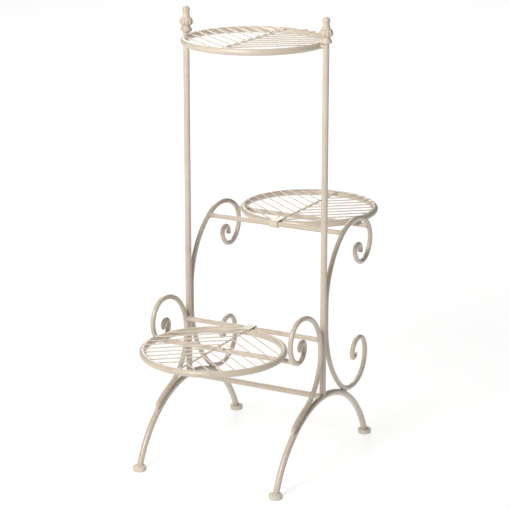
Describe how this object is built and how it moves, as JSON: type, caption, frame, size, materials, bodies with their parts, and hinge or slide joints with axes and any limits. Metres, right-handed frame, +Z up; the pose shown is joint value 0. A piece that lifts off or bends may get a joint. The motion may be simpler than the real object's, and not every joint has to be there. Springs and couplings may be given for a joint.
{
  "type": "plant stand",
  "caption": "Folding metal plant stand: round wire shelves at stepped heights between scrolled side frames, with turned finials and arched legs on round feet.",
  "frame": {"origin": "on the floor, half way between the two posts", "axes": "+X from the left post to the right post, +Y to the back (the middle shelf's side), +Z up"},
  "size_m": [0.302, 0.6327, 0.8193],
  "materials": {
    "cream_paint": "satin cream paint",
    "foot_plastic": "matt cream"
  },
  "bodies": {
    "frame": {"bottom_shelf_front_bar": "cream_paint", "bottom_shelf_rear_bar": "cream_paint", "left_finial": "cream_paint", "left_finial_stud": "cream_paint", "left_front_foot": "foot_plastic", "left_front_scroll": "cream_paint", "left_leg_arch": "cream_paint", "left_post": "cream_paint", "left_rear_foot": "foot_plastic", "left_rear_scroll": "cream_paint", "lower_stretcher": "cream_paint", "middle_shelf_front_bar": "cream_paint", "middle_shelf_rear_bar": "cream_paint", "right_finial": "cream_paint", "right_finial_stud": "cream_paint", "right_front_foot": "foot_plastic", "right_front_scroll": "cream_paint", "right_leg_arch": "cream_paint", "right_post": "cream_paint", "right_rear_foot": "foot_plastic", "right_rear_scroll": "cream_paint", "top_shelf_divider": "cream_paint", "top_shelf_left_lug": "cream_paint", "top_shelf_left_wires": "cream_paint", "top_shelf_right_lug": "cream_paint", "top_shelf_right_wires": "cream_paint", "top_shelf_rim": "cream_paint"},
    "bottom_shelf": {"bottom_shelf_clip": "cream_paint", "bottom_shelf_divider": "cream_paint", "bottom_shelf_left_wires": "cream_paint", "bottom_shelf_right_wires": "cream_paint", "bottom_shelf_rim": "cream_paint"},
    "middle_shelf": {"middle_shelf_clip": "cream_paint", "middle_shelf_divider": "cream_paint", "middle_shelf_left_wires": "cream_paint", "middle_shelf_right_wires": "cream_paint", "middle_shelf_rim": "cream_paint"}
  },
  "joints": [
    {"name": "bottom_shelf_fold", "type": "hinge", "parent": "frame", "child": "bottom_shelf", "pos_m": [0, -0.01267, 0.24157], "axis": [-1, 0, 0], "range_deg": [0, 95]},
    {"name": "middle_shelf_fold", "type": "hinge", "parent": "frame", "child": "middle_shelf", "pos_m": [0, 0.07715, 0.41808], "axis": [1, 0, 0], "range_deg": [0, 95]}
  ]
}
